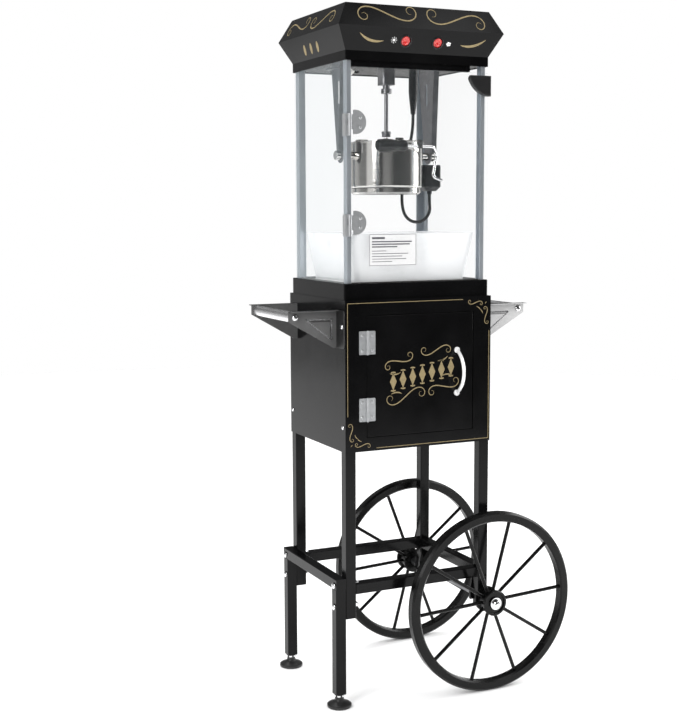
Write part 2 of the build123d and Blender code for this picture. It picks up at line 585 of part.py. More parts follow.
def gear_motor():
    """Flat gear motor on the ceiling plate, with its output boss below the ceiling."""
    box = block(-46, 46, KY - 32, KY + 32, CASE_Z1 + 1.5, CASE_Z1 + 34)
    box = fillet(box.edges().filter_by(Axis.Z), 4.0)
    can = rod((28, KY, CASE_Z1 + 34), (28, KY, CASE_Z1 + 72), 17)
    boss = block(-13.9, 13.9, KY - 13.9, KY + 13.9, CASE_Z1 - 31, CASE_Z1) & rod((0, KY, 1200), (0, KY, 1300), 18)
    neck = rod((0, KY, CASE_Z1), (0, KY, CASE_Z1 + 1.5), 13.9)
    bore = rod((0, KY, CASE_Z1 - 50), (0, KY, CASE_Z1 - 7), SLEEVE_R + GAP)
    bore += rod((0, KY, CASE_Z1 - 8), (0, KY, CASE_Z1 + 60), SHAFT_R + GAP)
    return box + can + boss + neck - bore


# --- kettle -------------------------------------------------------------------------------------
def hanger(x, side):
    """Tapered hanger plate with an outward front flange, a long slot and the pivot hole."""
    top_front, top_back = KY - 24, KY + 40
    plate = Polyline((top_front, CASE_Z1), (top_back, CASE_Z1), (KY + 14.6, PIVOT_Z - 3), (KY, PIVOT_Z - 15),
                     (KY - 14.6, PIVOT_Z - 3), (KY - 14.6, PIVOT_Z + 30), close=True)
    blade = extrude(Plane.YZ * make_face(plate), side * HANGER_T)
    foot = rod((0, KY, PIVOT_Z), (side * HANGER_T, KY, PIVOT_Z), 15)
    slot = extrude(Plane.YZ * (Pos(KY + 6, 1222) * Rot(Z=90) * SlotOverall(46, 7)), side * HANGER_T)
    lip = Polyline((top_front, CASE_Z1), (KY - 14.6, PIVOT_Z + 30), (KY - 14.6, PIVOT_Z + 8),
                   (KY - 14.6 - 1.5, PIVOT_Z + 8), (KY - 16.1, PIVOT_Z + 30), (top_front - 1.5, CASE_Z1), close=True)
    flange = extrude(Plane.YZ * make_face(lip), side * 12)
    seat = block(0, side * 14, top_front, top_back, CASE_Z1 - 1.5, CASE_Z1)
    shape = blade + foot + flange + seat - slot
    shape -= rod((-5, KY, PIVOT_Z), (5, KY, PIVOT_Z), TRUNNION_R + GAP)
    return Pos(x, 0, 0) * shape


def kettle_pot():
    """Deep drawn pot with a bearing boss in its floor and a trunnion at each side."""
    outline = Polyline((0, POT_Z0), (POT_R - 6, POT_Z0))
    corner = RadiusArc((POT_R - 6, POT_Z0), (POT_R, POT_Z0 + 6), -6)
    wall = Polyline((POT_R, POT_Z0 + 6), (POT_R, POT_Z1), (POT_R - POT_WALL, POT_Z1), (POT_R - POT_WALL, POT_Z0 + 6))
    inside = RadiusArc((POT_R - POT_WALL, POT_Z0 + 6), (POT_R - 6, POT_Z0 + POT_WALL), 4.5)
    floor = Polyline((POT_R - 6, POT_Z0 + POT_WALL), (7, POT_Z0 + POT_WALL), (7, POT_Z0 + 5), (3.0 + GAP, POT_Z0 + 5),
                     (3.0 + GAP, POT_Z0 + POT_WALL), (0, POT_Z0 + POT_WALL), (0, POT_Z0))
    pot = revolve(Plane.XZ * make_face([outline, corner, wall, inside, floor]), Axis.Z)
    pot = Pos(0, KY, 0) * pot
    for x, side in ((HANGER_XS[0], -1), (HANGER_XS[1], 1)):
        stub = rod((side * (POT_R - 1.2), KY, PIVOT_Z), (x - side * 1.0, KY, PIVOT_Z), 8)
        stub += rod((x - side * 1.0, KY, PIVOT_Z), (x + side * 12, KY, PIVOT_Z), TRUNNION_R)
        knob = rod((x + side * (HANGER_T + 0.5), KY, PIVOT_Z), (x + side * 12.5, KY, PIVOT_Z), 9.5)
        pot += stub - rod((0, KY, 1000), (0, KY, 1200), POT_R - 1.0)
        pot += fillet(knob.edges(), 1.2)
    return pot


def kettle_rim():
    """Flat rolled rim ring with the hinge bar of the lids across it and a hinge plate at each end."""
    ring = rod((0, KY, POT_Z1), (0, KY, POT_Z1 + RIM_T), RIM_R) - rod((0, KY, 1000), (0, KY, 1200), LID_R + 1)
    ring = fillet(ring.edges().filter_by(GeomType.CIRCLE).group_by(SortBy.RADIUS)[-1], 1.0)
    top = POT_Z1 + RIM_T
    bar = block(-LID_R - 2, LID_R + 2, KY - 3, KY + 3, top - 1.2, top + 1.2) + rod((0, KY, top - 1.2), (0, KY, top + 1.2), 12)
    bar -= rod((0, KY, 1000), (0, KY, 1200), SHAFT_R + 2.5)
    lugs = []
    for side in (-1, 1):
        for x in (-1, 1):
            for low, high in ((46, 48.6), (63.4, 66)):
                x0, x1 = sorted((x * low, x * high))
                lug = block(x0, x1, KY + side * 2.0, KY + side * (LID_PIN_Y + 1.8), top, LID_PIN_Z + 1.8)
                lug -= block(x0, x1, KY + side * 3.0, KY + side * 20, top, LID_PIN_Z - 2.3)
                lugs.append(lug)
            ends = sorted((x * 46, x * 66))
            lugs.append(rod((ends[0], KY + side * LID_PIN_Y, LID_PIN_Z), (ends[1], KY + side * LID_PIN_Y, LID_PIN_Z), 1.0))
    plates = []
    for side in (-1, 1):
        middle = KY + side * 74.6
        plate = block(-20, 20, middle - 3.8, middle + 3.8, top, top + 1.0)
        plate = fillet(plate.edges().filter_by(Axis.Z), 2.5)
        for x in (-14, 14):
            plate += dome_bolt((x, middle, top + 1.0), (0, 0, 1), 3.0, 1.6, 1.0, 0.2)
        plates.append(plate + rod((0, middle, top + 1.0), (0, middle, top + 3.4), 1.8))
    return ring + bar + lugs + plates


def lid(side):
    """Half lid with two hinge barrels; side is -1 for the front half, 1 for the rear half."""
    z = POT_Z1 + RIM_T + 0.3
    sheet = rod((0, 0, z), (0, 0, z + 1.0), LID_R + 0.5)
    sheet &= block(-100, 100, side * 8.8, side * 100, z - 5, z + 5)
    sheet -= rod((0, 0, z - 5), (0, 0, z + 5), 16)
    grip = block(-9, 9, side * (LID_R - 12), side * (LID_R - 10.5), z + 1.0, z + 7.0)
    sheet += fillet(grip.edges().filter_by(Axis.Y), 2.0)
    for x in (-1, 1):
        ends = sorted((x * 49.2, x * 62.8))
        barrel = rod((ends[0], side * LID_PIN_Y, LID_PIN_Z), (ends[1], side * LID_PIN_Y, LID_PIN_Z), 2.1)
        arm = block(ends[0], ends[1], side * LID_PIN_Y, side * 11, LID_PIN_Z - 2.1, LID_PIN_Z - 1.1)
        arm += block(ends[0], ends[1], side * 9.6, side * 11, z, LID_PIN_Z - 1.1)
        sheet += barrel + arm - rod((-90, side * LID_PIN_Y, LID_PIN_Z), (90, side * LID_PIN_Y, LID_PIN_Z), 1.0 + GAP)
    return Pos(0, KY, 0) * sheet


def heater_pan():
    """Spun pan under the pot that holds the heating element."""
    outline = Polyline((0, PAN_Z0), (POT_R - 8, PAN_Z0), (POT_R - 3, PAN_Z0 + 4), (POT_R - 3, POT_Z0), (0, POT_Z0),
                       close=True)
    return Pos(0, KY, 0) * revolve(Plane.XZ * make_face(outline), Axis.Z)


def handle_rod():
    """Bent handle rod along the front of the kettle, with its angle bracket on the rim."""
    points = [(-20, -74 - KY, 1113), (58, -74 - KY, 1112), (85, -50, 1101), (76, -50, 1053), (97, -50, 1046)]
    bar = pipe(points, 3.0, 9.0)
    foot = block(22, 32, KY - RIM_R - 18, KY - RIM_R + 8, POT_Z1 + RIM_T, POT_Z1 + RIM_T + 1.6)
    ear = block(22, 32, -87.5, -80.5, 1108, POT_Z1 + RIM_T + 1.6)
    return bar + foot + ear


def handle_grip():
    outline = Polyline((0, 0), (9.0, 0), (11.5, 3), (12.6, 14))
    side = Spline((12.6, 14), (12.0, 34), (10.2, 52), (11.2, 60), (9.0, 64), tangents=((0, 1), (-1, 0.2)))
    close = Polyline((9.0, 64), (0, 64), (0, 0))
    grip = revolve(Plane.XZ * make_face([outline, side, close]), Axis.Z)
    grip = Plane(origin=(-68, -74 - KY, 1113), z_dir=(1, 0, 0)) * grip
    return grip - handle_rod()


def terminal_housing():
    """Moulded box on the right of the pot for the heater's wiring, with the cord gland below it."""
    box = block(80, 121, KY - 17, KY + 17, 1034, 1079)
    box = fillet(box.edges().filter_by(Axis.Z), 6.0)
    box = fillet(box.faces().sort_by(Axis.Z)[-1].edges(), 3.0)
    chin = loft([Plane.XY.offset(1034) * Pos(100.5, KY) * RectangleRounded(41, 34, 6),
                 Plane.XY.offset(1025) * Pos(102, KY) * RectangleRounded(24, 20, 5)])
    neck = block(72, 82, KY - 12, KY + 12, 1040, 1072) - rod((0, KY, 1000), (0, KY, 1200), POT_R)
    gland = rod((100.5, 8, 1019), (100.5, 8, 1026), 5.0)
    return box + chin + neck + gland


def cord_plug():
    """Tapered moulded entry on the ceiling, where the kettle's cord comes down."""
    profile = Polyline((0, 1188), (5.2, 1188), (8.6, 1222), (9.6, 1234), (9.6, CASE_Z1 + 6), (0, CASE_Z1 + 6),
                       close=True)
    body = revolve(Plane.XZ * make_face(profile), Axis.Z)
    for index in range(5):
        body -= Pos(0, 0, 1193 + 5 * index) * (Cylinder(12, 1.2) - Cylinder(4.6 + 0.5 * index, 3))
    return Pos(97.0, 75, 0) * body


def kettle_cord():
    """Free cord of the kettle as straight runs joined by tangent arcs."""
    corners = [Vector(*point) for point in CORD_ROUTE]
    radii = []
    for before, here, after in zip(corners, corners[1:], corners[2:]):
        shorter = min((here - before).length, (after - here).length)
        turn = (here - before).get_angle(after - here)
        radii.append(0.45 * shorter / math.tan(math.radians(turn / 2)))
    path = FilletPolyline(*CORD_ROUTE, radius=radii)
    cord = sweep(Plane(origin=path @ 0, z_dir=path % 0) * Circle(CORD_R), path=path)
    print("cord bend radii", [round(radius, 1) for radius in radii])
    print("cord length", round(path.length, 1), "volume ratio", cord.volume / (math.pi * CORD_R**2 * path.length))
    return cord


def drive_rod():
    """Stirrer drive rod, which slides up through its collar, with the coupling nut at its foot."""
    shaft = rod((0, KY, 1135), (0, KY, CASE_Z1 + 6), SHAFT_R)
    nut = Pos(0, KY, 1135) * extrude(RegularPolygon(8.5, 6, major_radius=False), 6)
    cap = fillet(rod((0, KY, 1141), (0, KY, 1146), 9.6).edges(), 0.8)
    return shaft + nut + cap


def drive_collar():
    """Collar under the motor's boss, turning in it on a sleeve and carrying the drive rod."""
    collar = fillet(rod((0, KY, 1222), (0, KY, 1232), 10.8).edges(), 1.0)
    sleeve = rod((0, KY, 1232), (0, KY, CASE_Z1 - 8), SLEEVE_R)
    return collar + sleeve - rod((0, KY, 1200), (0, KY, 1300), SHAFT_R + GAP)


def stirrer():
    """Stirrer shaft with its two sweeping arms just above the kettle floor."""
    shaft = rod((0, KY, 1036), (0, KY, 1133.4), SHAFT_R) + rod((0, KY, 1032.2), (0, KY, 1036), 3.0)
    hub = rod((0, KY, 1036), (0, KY, 1046), 8.5)
    arms = block(-61, 61, KY - 2.5, KY + 2.5, 1036.4, 1040.4)
    arms += block(-61, -56, KY - 26, KY + 2.5, 1036.4, 1040.4)
    arms += block(56, 61, KY - 2.5, KY + 26, 1036.4, 1040.4)
    return shaft + hub + arms


def popcorn_tray():
    """Tapered moulded tray with a turned-out rim, standing on the floor of the case."""
    outer = loft([Plane.XY.offset(TRAY_Z0) * RectangleRounded(*TRAY_FOOT, 14),
                  Plane.XY.offset(TRAY_Z1) * RectangleRounded(*TRAY_TOP, 18)])
    inner = loft([Plane.XY.offset(TRAY_Z0 + TRAY_WALL) * RectangleRounded(TRAY_FOOT[0] - 4, TRAY_FOOT[1] - 4, 12),
                  Plane.XY.offset(TRAY_Z1 + 0.1) * RectangleRounded(TRAY_TOP[0] - 4, TRAY_TOP[1] - 4, 16)])
    return outer - inner


# --- write the pieces ---------------------------------------------------------------------------
bolts = stand_bolts() + rail_ends()
screws = panel_screws()
for name, sx, sy in (("leg_front_left", -1, -1), ("leg_rear_left", -1, 1), ("leg_front_right", 1, -1),
                     ("leg_rear_right", 1, 1)):
    save(name, leg(sx, sy) - bolts - screws - AXLE_BORE)
rail_half = LEG_X - LEG / 2
rails = [square_tube((-rail_half, y, RAIL_Z), (rail_half, y, RAIL_Z)) for y in (-LEG_Y, LEG_Y)]
save("frame_rails", *[rail - bolts for rail in rails])
save("axle_beam", axle_beam())
save("stand_frame", stand_frame() - bolts)
save("frame_bolts", *bolts, *axle_ends(), *screws)
save("axle", axle())
for name, side in (("front", -1), ("rear", 1)):
    save(f"{name}_wheel_rim", wheel_rim(side * WHEEL_Y))
    save(f"{name}_wheel_hub", *wheel_hub(side * WHEEL_Y))
    save(f"{name}_foot", levelling_foot(side * LEG_Y))

save("cabinet_left_panel", cabinet_side(-1) - screws)
save("cabinet_right_panel", cabinet_side(1) - screws)
save("cabinet_back_panel", block(-CX + SHEET, CX - SHEET, CY - SHEET, CY, CAB_Z0, CAB_Z1))
save("cabinet_front_frame", cabinet_front())
save("cabinet_floor", cabinet_level(CAB_Z0, CAB_Z0 + SHEET) - leg_holes())
save("cabinet_top", cabinet_level(CAB_Z1 - SHEET, CAB_Z1))
save("cabinet_fixed_hinges", *[butt_hinge(z, False) for z in HINGE_ZS])
save("cabinet_door", cabinet_door())
save("cabinet_door_hinges", *[butt_hinge(z, True) for z in HINGE_ZS])
save("cabinet_door_pull", door_pull())
save("handle_brackets", *handle_brackets())
save("push_bars", push_bar(-1) - screws, push_bar(1) - screws)

save("base_shell", base_shell())
save("case_deck", case_deck())
save("case_posts", *corner_posts())
save("left_pane", side_pane(-1))
save("right_pane", side_pane(1))
save("back_pane", back_pane())
save("case_fixed_hinges", *[case_hinge(z, False) for z in CASE_HINGE_ZS])
save("case_door_glass", glass_door())
save("case_door_hinges", *[case_hinge(z, True) for z in CASE_HINGE_ZS])
save("case_door_handle", glass_door_handle())

save("canopy_shell", canopy_shell())
save("mains_inlet", mains_inlet())
save("switch_bezels", *[switch_bezel(x) for x in SWITCH_XS.values()])
for name, x in SWITCH_XS.items():
    save(name, switch_rocker(x))
save("ceiling_plate", ceiling_plate())
save("heat_lamp", *heat_lamp())
save("gear_motor", gear_motor())

save("kettle_hangers", hanger(HANGER_XS[0], -1), hanger(HANGER_XS[1], 1))
save("kettle_pot", kettle_pot())
save("kettle_rim", kettle_rim())
save("kettle_front_lid", lid(-1))
save("kettle_rear_lid", lid(1))
save("kettle_heater_pan", heater_pan())
save("kettle_handle_rod", handle_rod())
save("kettle_handle_grip", handle_grip())
save("kettle_terminal_housing", terminal_housing())
save("kettle_cord_plug", cord_plug())
save("kettle_cord", kettle_cord())
save("drive_collar", drive_collar())
save("drive_rod", drive_rod())
save("stirrer", stirrer())
save("popcorn_tray", popcorn_tray())
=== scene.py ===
"""Looks of the kettle popcorn machine on its cart. Metres, +X right, +Y back, +Z up."""
import json
import math

import bmesh
import bpy
from mathutils import Matrix, Vector


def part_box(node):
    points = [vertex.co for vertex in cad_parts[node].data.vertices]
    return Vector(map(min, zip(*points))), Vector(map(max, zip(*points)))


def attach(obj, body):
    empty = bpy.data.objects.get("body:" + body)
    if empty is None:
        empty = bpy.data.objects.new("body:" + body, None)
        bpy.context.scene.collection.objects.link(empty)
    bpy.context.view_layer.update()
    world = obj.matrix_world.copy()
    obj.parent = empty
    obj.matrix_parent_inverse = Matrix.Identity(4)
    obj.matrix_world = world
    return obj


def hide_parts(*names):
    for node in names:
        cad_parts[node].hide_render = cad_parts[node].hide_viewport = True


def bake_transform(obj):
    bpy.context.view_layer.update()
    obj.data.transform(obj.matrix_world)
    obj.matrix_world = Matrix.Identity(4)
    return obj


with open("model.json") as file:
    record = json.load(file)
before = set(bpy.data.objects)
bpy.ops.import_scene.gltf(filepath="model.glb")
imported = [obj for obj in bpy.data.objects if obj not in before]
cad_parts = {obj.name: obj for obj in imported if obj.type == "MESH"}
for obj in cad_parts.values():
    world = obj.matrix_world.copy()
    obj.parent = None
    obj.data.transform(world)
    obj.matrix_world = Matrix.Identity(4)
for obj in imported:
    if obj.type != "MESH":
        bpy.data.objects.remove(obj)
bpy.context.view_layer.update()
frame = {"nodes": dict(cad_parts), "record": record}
scene = bpy.context.scene

# --- places taken from the frame ----------------------------------------------------------------
canopy_low, canopy_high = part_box("canopy_shell")
front_low, front_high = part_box("cabinet_front_frame")
MID_X = (front_low.x + front_high.x) / 2      # middle of the cabinet
FACE_Y = front_low.y                          # front face of the cabinet
GLASS_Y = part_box("case_door_glass")[0].y      # front face of the glass door
PROUD = 0.0003                                # how far printed lines stand off the paint
SUNK = 0.0002                                 # how far they reach into it


def added(name, data):
    """New object in the scene."""
    thing = bpy.data.objects.new(name, data)
    scene.collection.objects.link(thing)
    return thing


# --- camera -------------------------------------------------------------------------------------
YAW, PITCH, ROLL = math.radians(24.773), math.radians(6.673), math.radians(0.230)
EYE = (MID_X - 1.1814, -2.3168, 0.9868)
FOCAL_LENGTH, SENSOR_WIDTH = 63.28, 36.0      # millimetres


def make_camera():
    ahead = Vector((math.sin(YAW) * math.cos(PITCH), math.cos(YAW) * math.cos(PITCH), -math.sin(PITCH)))
    right = ahead.cross(Vector((0, 0, 1))).normalized()
    above = right.cross(ahead)
    tilted_right = right * math.cos(ROLL) - above * math.sin(ROLL)
    tilted_up = above * math.cos(ROLL) + right * math.sin(ROLL)
    camera = added("camera", bpy.data.cameras.new("camera"))
    turn = Matrix((tilted_right, tilted_up, -ahead)).transposed().to_4x4()
    camera.matrix_world = Matrix.Translation(EYE) @ turn
    camera.data.sensor_width = SENSOR_WIDTH
    camera.data.lens = FOCAL_LENGTH
    camera.data.clip_end = 60.0
    scene.camera = camera


make_camera()


# --- shader nodes -------------------------------------------------------------------------------
def add_node(tree, kind, **values):
    """New shader node with some inputs set; an underscore in an input's name stands for a space."""
    node = tree.nodes.new("ShaderNode" + kind)
    for name, value in values.items():
        node.inputs[name.replace("_", " ")].default_value = value
    return node


def add_ramp(tree, stops):
    """Colour ramp through stops of (position, red, green, blue)."""
    ramp = add_node(tree, "ValToRGB")
    elements = ramp.color_ramp.elements
    while len(elements) < len(stops):
        elements.new(0.5)
    for element, (position, *colour) in zip(elements, stops):
        element.position = position
        element.color = (*colour, 1)
    return ramp


def add_mix(tree, share, one, two):
    """Colour between one and two by a share; each is a fixed colour or another node's output."""
    mix = add_node(tree, "Mix")
    mix.data_type = "RGBA"
    tree.links.new(share, mix.inputs["Factor"])
    for socket, colour in zip(mix.inputs[6:8], (one, two)):
        if isinstance(colour, bpy.types.NodeSocket):
            tree.links.new(colour, socket)
        else:
            socket.default_value = colour
    return mix.outputs[2]


# --- materials ----------------------------------------------------------------------------------
def finish(name, colour, rough, metal=0.0, tone=0.15, grain=60.0, stretch=(1, 1, 1), rough_span=0.08,
           bump=0.1, bump_grain=900.0, **sockets):
    """Principled surface whose colour and roughness drift with one noise and whose relief is a finer one."""
    made = bpy.data.materials.new(name)
    made.use_nodes = True
    tree = made.node_tree
    link = tree.links.new
    shader = tree.nodes["Principled BSDF"]
    place = add_node(tree, "TexCoord")
    scale = add_node(tree, "Mapping", Scale=stretch)
    link(place.outputs["Object"], scale.inputs["Vector"])
    drift = add_node(tree, "TexNoise", Scale=grain, Detail=5.0)
    link(scale.outputs["Vector"], drift.inputs["Vector"])
    darker = [c * (1 - tone) for c in colour]
    lighter = [min(1, c * (1 + tone)) for c in colour]
    ramp = add_ramp(tree, [(0.3, *darker), (0.7, *lighter)])
    link(drift.outputs["Fac"], ramp.inputs["Fac"])
    link(ramp.outputs["Color"], shader.inputs["Base Color"])
    gloss = add_node(tree, "MapRange", From_Min=0.3, From_Max=0.7, To_Min=max(0.02, rough - rough_span / 2),
                     To_Max=rough + rough_span / 2)
    link(drift.outputs["Fac"], gloss.inputs["Value"])
    link(gloss.outputs["Result"], shader.inputs["Roughness"])
    fine = add_node(tree, "TexNoise", Scale=bump_grain, Detail=3.0)
    link(scale.outputs["Vector"], fine.inputs["Vector"])
    relief = add_node(tree, "Bump", Strength=bump, Distance=0.0002)
    link(fine.outputs["Fac"], relief.inputs["Height"])
    link(relief.outputs["Normal"], shader.inputs["Normal"])
    shader.inputs["Metallic"].default_value = metal
    for socket, value in sockets.items():
        shader.inputs[socket.replace("_", " ")].default_value = value
    return made


def clear_pane(name, tint, face, edge):
    """Clear sheet: nearly invisible face on, and more solid where it is seen along its surface."""
    made = finish(name, tint, 0.03, tone=0.01, grain=8.0, rough_span=0.02, bump=0.01, bump_grain=40.0)
    tree = made.node_tree
    glance = add_node(tree, "LayerWeight", Blend=0.35)
    cover = add_node(tree, "MapRange", From_Min=0.35, To_Min=face, To_Max=edge)
    tree.links.new(glance.outputs["Facing"], cover.inputs["Value"])
    tree.links.new(cover.outputs["Result"], tree.nodes["Principled BSDF"].inputs["Alpha"])
    return made


def lens_with_glints(name, dark, bright, grain):
    """Red lens with a fine pattern of facets moulded into it, each facet coloured with a painted glint at
    its middle.
    """
    made = finish(name, dark, 0.18, tone=0.2, grain=300.0, bump=0.1, Coat_Weight=0.6)
    tree = made.node_tree
    place = add_node(tree, "TexCoord")
    cells = add_node(tree, "TexVoronoi", Scale=grain)
    tree.links.new(place.outputs["Object"], cells.inputs["Vector"])
    # bright at each facet's middle, fading to dark at its rim: painted glints
    ramp = add_ramp(tree, [(0.1, *bright), (0.5, *dark)])
    tree.links.new(cells.outputs["Distance"], ramp.inputs["Fac"])
    tree.links.new(ramp.outputs["Color"], tree.nodes["Principled BSDF"].inputs["Base Color"])
    return made


def bracket_with_painted_light(name, web, web_right_reflection, flange_shade):
    """Bracket paint: web colour on the flat of the webs, lighter to the right as a painted reflection, and a
    near-black colour on the flanges as painted shade.
    """
    made = finish(name, web, 0.34, tone=0.1, grain=60.0, bump=0.1)
    tree = made.node_tree
    link = tree.links.new
    shader = tree.nodes["Principled BSDF"]
    worn = shader.inputs["Base Color"].links[0].from_socket
    place = add_node(tree, "TexCoord")
    facing = add_node(tree, "SeparateXYZ")
    link(place.outputs["Normal"], facing.inputs["Vector"])
    flat = add_node(tree, "Math")
    flat.operation = "ABSOLUTE"
    link(facing.outputs["Y"], flat.inputs[0])
    where = add_node(tree, "SeparateXYZ")
    link(place.outputs["Object"], where.inputs["Vector"])
    # webs on the right-hand side of the cart take the lighter colour, a painted reflection
    side = add_node(tree, "MapRange", From_Min=-0.1, From_Max=0.1)
    link(where.outputs["X"], side.inputs["Value"])
    tint = add_mix(tree, side.outputs["Result"], worn, web_right_reflection)
    # faces not turned to the front or back, the flanges, take the near-black colour, painted shade
    link(add_mix(tree, flat.outputs["Value"], flange_shade, tint), shader.inputs["Base Color"])
    return made


# the right-hand webs carry a painted reflection and the flanges a painted shade
bracket_paint = bracket_with_painted_light("bracket_paint", (0.09, 0.09, 0.09), (0.5, 0.5, 0.5, 1), (0.008, 0.008, 0.008, 1))
black_paint = finish("black_paint", (0.0028, 0.0028, 0.003), 0.16, tone=0.3, grain=14.0, rough_span=0.07,
                     bump=0.04, bump_grain=600.0, IOR=1.27)
wheel_black = finish("wheel_black", (0.003, 0.003, 0.003), 0.26, tone=0.3, grain=40.0, rough_span=0.1,
                     bump=0.12, bump_grain=900.0, IOR=1.3)
black_plastic = finish("black_plastic", (0.004, 0.004, 0.0045), 0.42, tone=0.25, grain=120.0, bump=0.35,
                       bump_grain=2200.0)
foot_rubber = finish("foot_rubber", (0.012, 0.012, 0.012), 0.4, tone=0.3, grain=90.0, bump=0.4,
                     bump_grain=1500.0)
cord_jacket = finish("cord_jacket", (0.005, 0.005, 0.005), 0.45, tone=0.3, grain=200.0, bump=0.3,
                     bump_grain=1800.0)
chrome = finish("chrome", (0.86, 0.86, 0.87), 0.09, metal=1.0, tone=0.04, grain=90.0, bump=0.05)
white_pull = finish("white_pull", (0.9, 0.9, 0.9), 0.2, metal=0.35, tone=0.02, grain=90.0, bump=0.04)
silver_bar = finish("silver_bar", (0.78, 0.78, 0.79), 0.28, metal=1.0, tone=0.05, grain=70.0,
                    stretch=(9, 0.6, 9), bump=0.12, bump_grain=500.0)
zinc_steel = finish("zinc_steel", (0.27, 0.27, 0.28), 0.33, metal=1.0, tone=0.12, grain=60.0, bump=0.15)
stainless = finish("stainless", (0.62, 0.61, 0.59), 0.13, metal=1.0, tone=0.06, grain=30.0,
                   stretch=(1, 1, 14), rough_span=0.08, bump=0.06, bump_grain=240.0)
aluminium = finish("aluminium", (0.54, 0.58, 0.62), 0.36, metal=0.85, tone=0.04, grain=160.0,
                   stretch=(7, 7, 0.3), bump=0.1, bump_grain=500.0)
lamp_glass = finish("lamp_glass", (0.95, 0.94, 0.9), 0.3, tone=0.03, grain=60.0, bump=0.05)
red_lens = lens_with_glints("red_lens", (0.5, 0.008, 0.008), (0.95, 0.16, 0.13), 420.0)
tray_plastic = finish("tray_plastic", (0.93, 0.94, 0.95), 0.3, tone=0.01, grain=30.0, bump=0.1,
                      bump_grain=300.0, Alpha=0.5)
hinge_steel = finish("hinge_steel", (0.46, 0.47, 0.48), 0.36, metal=0.7, tone=0.07, grain=160.0, bump=0.2)
clear_glass = clear_pane("clear_glass", (0.45, 0.52, 0.55), 0.012, 0.45)
gold = finish("gold", (0.3, 0.235, 0.12), 0.45, metal=0.3, tone=0.18, grain=240.0, bump=0.2,
              bump_grain=1500.0)
pale_ink = finish("pale_ink", (0.85, 0.85, 0.84), 0.5, tone=0.04, grain=300.0, bump=0.1)
paper = finish("paper", (0.8, 0.8, 0.8), 0.55, tone=0.03, grain=200.0, bump=0.15, Alpha=0.6)
dark_ink = finish("dark_ink", (0.09, 0.09, 0.1), 0.6, tone=0.2, grain=300.0, bump=0.1)

FINISHES = {
    "black_paint": black_paint, "wheel_black": wheel_black, "black_plastic": black_plastic,
    "foot_rubber": foot_rubber, "cord_jacket": cord_jacket, "chrome": chrome, "white_pull": white_pull,
    "silver_bar": silver_bar, "zinc_steel": zinc_steel, "stainless": stainless, "aluminium": aluminium,
    "hinge_steel": hinge_steel, "bracket_paint": bracket_paint, "clear_glass": clear_glass,
    "lamp": lamp_glass, "red_lens": red_lens, "tray_plastic": tray_plastic,
}
for part in frame["record"]["subparts"]:
    piece = frame["nodes"][part["node"]]
    piece.data.materials.clear()
    piece.data.materials.append(FINISHES[part["material_slot"]])


# --- the kettle's cord --------------------------------------------------------------------------
CORD_D = 0.0066
CORD_ROUTE = [(x / 1000 + MID_X, y / 1000, z / 1000) for x, y, z in (
    (100.5, 8, 1019), (100.5, 8, 1001), (103.2, 9.9, 983.6), (98.2, 16.5, 969), (89.5, 28.2, 960.6),
    (79.5, 41.8, 960.6), (70.8, 53.5, 969), (65.8, 60.3, 983.6), (65.0, 65.0, 1006), (68.5, 69.5, 1034),
    (76.0, 73, 1068), (85.5, 75, 1105), (93.5, 75.6, 1140), (97.0, 75, 1166), (97.0, 75, 1188))]


def nurbs(name, points, bevel):
    """Smooth open curve with the points as its control points, as thick as the bevel radius."""
    data = bpy.data.curves.new(name, "CURVE")
    data.dimensions = "3D"
    data.resolution_u = 10
    data.bevel_depth = bevel
    data.bevel_resolution = 5
    data.use_fill_caps = bevel > 0
    spline = data.splines.new("NURBS")
    spline.points.add(len(points) - 1)
    for knot, place in zip(spline.points, points):
        knot.co = (*place, 1)
    spline.order_u = 3
    spline.use_endpoint_u = True
    return added(name, data)


def mesh_of(curve, name):
    """Mesh of a curve, which is then removed."""
    bpy.context.view_layer.update()
    mesh = bpy.data.meshes.new_from_object(curve.evaluated_get(bpy.context.evaluated_depsgraph_get()))
    mesh.name = name
    bpy.data.objects.remove(curve)
    return mesh


def make_cord():
    line = [v.co.copy() for v in mesh_of(nurbs("cord_line", CORD_ROUTE, 0), "cord_line").vertices]
    tube = added("supply_cord", mesh_of(nurbs("cord_tube", CORD_ROUTE, CORD_D / 2), "supply_cord"))
    tube.data.materials.clear()
    tube.data.materials.append(cord_jacket)
    for face in tube.data.polygons:
        face.use_smooth = True
    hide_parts("kettle_cord")
    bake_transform(tube)


make_cord()


# --- meshes made of rings -----------------------------------------------------------------------
def skin(shape, rings):
    """Closed skin over a row of rings of vertices, with a cap on each end."""
    count = len(rings[0])
    for one, two in zip(rings, rings[1:]):
        for k in range(count):
            shape.faces.new((one[k], one[(k + 1) % count], two[(k + 1) % count], two[k]))
    shape.faces.new(rings[0][::-1])
    shape.faces.new(rings[-1])


def finished(shape, name, material):
    """Object made of a bmesh, which is freed."""
    mesh = bpy.data.meshes.new(name)
    shape.to_mesh(mesh)
    shape.free()
    mesh.materials.append(material)
    return added(name, mesh)


# --- printed lines ------------------------------------------------------------------------------
class Face:
    """A flat surface to print on: (u, v) on it in millimetres from its origin."""

    def __init__(self, origin, across, up):
        self.origin = Vector(origin)
        self.across = Vector(across).normalized()
        self.up = Vector(up).normalized()
        self.out = self.across.cross(self.up).normalized()

    def at(self, u, v, height):
        return self.origin + self.across * (u / 1000) + self.up * (v / 1000) + self.out * height


